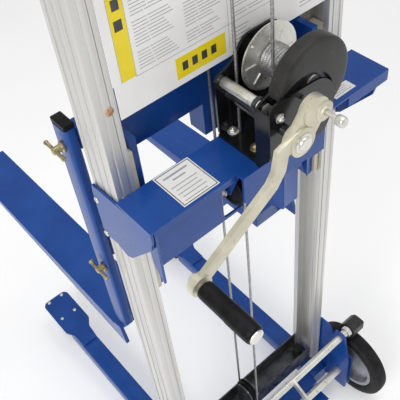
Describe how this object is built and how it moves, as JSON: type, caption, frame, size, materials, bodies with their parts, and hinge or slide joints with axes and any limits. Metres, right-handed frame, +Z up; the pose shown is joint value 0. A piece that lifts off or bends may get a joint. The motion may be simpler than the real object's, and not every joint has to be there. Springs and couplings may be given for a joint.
{
  "type": "hand winch material lift",
  "caption": "Narrow wheeled lift with telescopic aluminium masts, a rope winch with a crank, and forks on a sliding carriage.",
  "frame": {"origin": "on the floor, below the middle of the whole lift's box", "axes": "+X to the operator's right, +Y along the forks away from the operator, +Z up"},
  "size_m": [0.608, 1.0196, 1.716],
  "materials": {
    "blue_paint": "gloss powder coat",
    "aluminium": "mill finish extrusion",
    "dark_steel": "dark oiled steel",
    "bright_zinc": "bright zinc plate",
    "nickel_casting": "satin nickel plate",
    "yellow_zinc": "yellow zinc plate",
    "black_plastic": "satin",
    "black_paint": "satin",
    "black_rubber": "matt",
    "grey_paint": "satin",
    "cream_nylon": "matt",
    "white_sheet": "satin",
    "wire_rope": "stranded wire"
  },
  "bodies": {
    "base": {"leg_left": "blue_paint", "leg_right": "blue_paint", "rear_deck": "blue_paint", "end_plate_left": "blue_paint", "end_plate_right": "blue_paint", "rear_axle": "bright_zinc", "outer_mast_left": "aluminium", "outer_mast_right": "aluminium", "mast_crossbar": "blue_paint", "sign_panel": "white_sheet", "mast_bracket": "blue_paint", "winch_frame": "black_paint", "tie_rod": "bright_zinc", "gear_cover": "grey_paint", "rope_winch_run": "wire_rope", "rope_front_run": "wire_rope"},
    "inner_mast": {"inner_mast_left": "aluminium", "inner_mast_right": "aluminium", "bottom_channel": "dark_steel", "inner_head_bar": "aluminium", "rope_inner_run": "wire_rope", "rope_carriage_run": "wire_rope"},
    "carriage": {"carriage_frame": "blue_paint", "slide_pad_left_low": "cream_nylon", "slide_pad_left_high": "cream_nylon", "slide_pad_right_low": "cream_nylon", "slide_pad_right_high": "cream_nylon", "fork_left": "blue_paint", "fork_right": "blue_paint", "fork_cap_left": "black_plastic", "fork_cap_right": "black_plastic"},
    "drum": {"winch_drum": "bright_zinc", "drum_gear": "dark_steel", "rope_on_drum": "wire_rope"},
    "crank": {"crank_shaft": "dark_steel", "crank_arm": "nickel_casting", "grip_spindle": "bright_zinc"},
    "grip": {"crank_grip": "black_plastic"},
    "knob": {"lock_knob": "bright_zinc"},
    "pawl": {"ratchet_pawl": "dark_steel"},
    "head_sheave": {"head_sheave": "black_plastic"},
    "guide_sheave": {"guide_sheave": "black_plastic"},
    "bottom_sheave": {"bottom_sheave": "black_plastic"},
    "inner_head_sheave": {"inner_head_sheave": "black_plastic"},
    "clamp_left_high": {"clamp_left_high": "yellow_zinc"},
    "clamp_left_low": {"clamp_left_low": "yellow_zinc"},
    "clamp_right_high": {"clamp_right_high": "yellow_zinc"},
    "clamp_right_low": {"clamp_right_low": "yellow_zinc"},
    "brake": {"brake_rod": "bright_zinc", "brake_block_left": "grey_paint", "brake_block_right": "grey_paint"},
    "rear_wheel_left": {"rear_tyre_left": "black_rubber", "rear_rim_left": "grey_paint"},
    "rear_wheel_right": {"rear_tyre_right": "black_rubber", "rear_rim_right": "grey_paint"},
    "caster_swivel_left": {"caster_fork_left": "bright_zinc"},
    "caster_swivel_right": {"caster_fork_right": "bright_zinc"},
    "caster_wheel_left": {"caster_wheel_left": "black_plastic"},
    "caster_wheel_right": {"caster_wheel_right": "black_plastic"}
  },
  "joints": [
    {"name": "inner_mast_lift", "type": "slide", "parent": "base", "child": "inner_mast", "axis": [0, 0, 1], "range_m": [0, 0.65], "deforming": ["rope_front_run"]},
    {"name": "carriage_lift", "type": "slide", "parent": "inner_mast", "child": "carriage", "axis": [0, 0, 1], "range_m": [-0.44, 0.46], "deforming": ["rope_carriage_run"]},
    {"name": "drum_spin", "type": "hinge", "parent": "base", "child": "drum", "pos_m": [0.043, -0.30225, 1.185], "axis": [0, 1, 0], "range_deg": [-970, 930]},
    {"name": "crank_spin", "type": "hinge", "parent": "base", "child": "crank", "pos_m": [-0.022, -0.37225, 1.148], "axis": [0, 1, 0], "range_deg": [-2670, 2790]},
    {"name": "grip_spin", "type": "hinge", "parent": "crank", "child": "grip", "pos_m": [-0.209, -0.46025, 1.02], "axis": [0, 1, 0], "continuous": true},
    {"name": "knob_pull", "type": "slide", "parent": "crank", "child": "knob", "axis": [0, -1, 0], "range_m": [0, 0.01], "stiffness_N_per_m": 400, "springref_m": -0.005},
    {"name": "pawl_swing", "type": "hinge", "parent": "base", "child": "pawl", "pos_m": [-0.029, -0.32825, 1.172], "axis": [0, 1, 0], "range_deg": [-25, 0]},
    {"name": "head_sheave_spin", "type": "hinge", "parent": "base", "child": "head_sheave", "pos_m": [0.0015, -0.2905, 1.66], "axis": [0.8351, 0.5502, 0], "range_deg": [-1000, 1045]},
    {"name": "guide_sheave_spin", "type": "hinge", "parent": "base", "child": "guide_sheave", "pos_m": [-0.0125, -0.23825, 0.932], "axis": [1, 0, 0], "range_deg": [-860, 825]},
    {"name": "bottom_sheave_spin", "type": "hinge", "parent": "inner_mast", "child": "bottom_sheave", "pos_m": [-0.0125, -0.23825, 0.2], "axis": [1, 0, 0], "range_deg": [-860, 825]},
    {"name": "inner_head_sheave_spin", "type": "hinge", "parent": "inner_mast", "child": "inner_head_sheave", "pos_m": [-0.0125, -0.18925, 1.655], "axis": [1, 0, 0], "range_deg": [-1410, 1475]},
    {"name": "clamp_left_high_spin", "type": "hinge", "parent": "carriage", "child": "clamp_left_high", "pos_m": [-0.2288, -0.13825, 1.106], "axis": [1, 0, 0], "continuous": true},
    {"name": "clamp_left_low_spin", "type": "hinge", "parent": "carriage", "child": "clamp_left_low", "pos_m": [-0.2288, -0.14575, 0.829], "axis": [1, 0, 0], "continuous": true},
    {"name": "clamp_right_high_spin", "type": "hinge", "parent": "carriage", "child": "clamp_right_high", "pos_m": [0.2288, -0.13825, 1.106], "axis": [1, 0, 0], "continuous": true},
    {"name": "clamp_right_low_spin", "type": "hinge", "parent": "carriage", "child": "clamp_right_low", "pos_m": [0.2288, -0.14575, 0.829], "axis": [1, 0, 0], "continuous": true},
    {"name": "brake_swing", "type": "hinge", "parent": "base", "child": "brake", "pos_m": [0, -0.31325, 0.258], "axis": [1, 0, 0], "range_deg": [-12, 12]},
    {"name": "rear_wheel_left_spin", "type": "hinge", "parent": "base", "child": "rear_wheel_left", "pos_m": [-0.2765, -0.31925, 0.108], "axis": [1, 0, 0], "continuous": true},
    {"name": "caster_left_swivel", "type": "hinge", "parent": "base", "child": "caster_swivel_left", "pos_m": [-0.196, 0.36575, 0.085], "axis": [0, 0, 1], "continuous": true},
    {"name": "caster_left_roll", "type": "hinge", "parent": "caster_swivel_left", "child": "caster_wheel_left", "pos_m": [-0.196, 0.34375, 0.03], "axis": [1, 0, 0], "continuous": true},
    {"name": "rear_wheel_right_spin", "type": "hinge", "parent": "base", "child": "rear_wheel_right", "pos_m": [0.2765, -0.31925, 0.108], "axis": [1, 0, 0], "continuous": true},
    {"name": "caster_right_swivel", "type": "hinge", "parent": "base", "child": "caster_swivel_right", "pos_m": [0.196, 0.36575, 0.085], "axis": [0, 0, 1], "continuous": true},
    {"name": "caster_right_roll", "type": "hinge", "parent": "caster_swivel_right", "child": "caster_wheel_right", "pos_m": [0.196, 0.34375, 0.03], "axis": [1, 0, 0], "continuous": true}
  ],
  "couplings": [
    {"joint": "drum_spin", "follows": "carriage_lift", "rad_per_m": -36.364},
    {"joint": "crank_spin", "follows": "carriage_lift", "rad_per_m": 105.45},
    {"joint": "guide_sheave_spin", "follows": "carriage_lift", "rad_per_m": -32.258},
    {"joint": "bottom_sheave_spin", "follows": "carriage_lift", "rad_per_m": -32.258},
    {"joint": "inner_head_sheave_spin", "follows": "carriage_lift", "rad_per_m": 55.556},
    {"joint": "head_sheave_spin", "follows": "carriage_lift", "rad_per_m": 39.297}
  ]
}
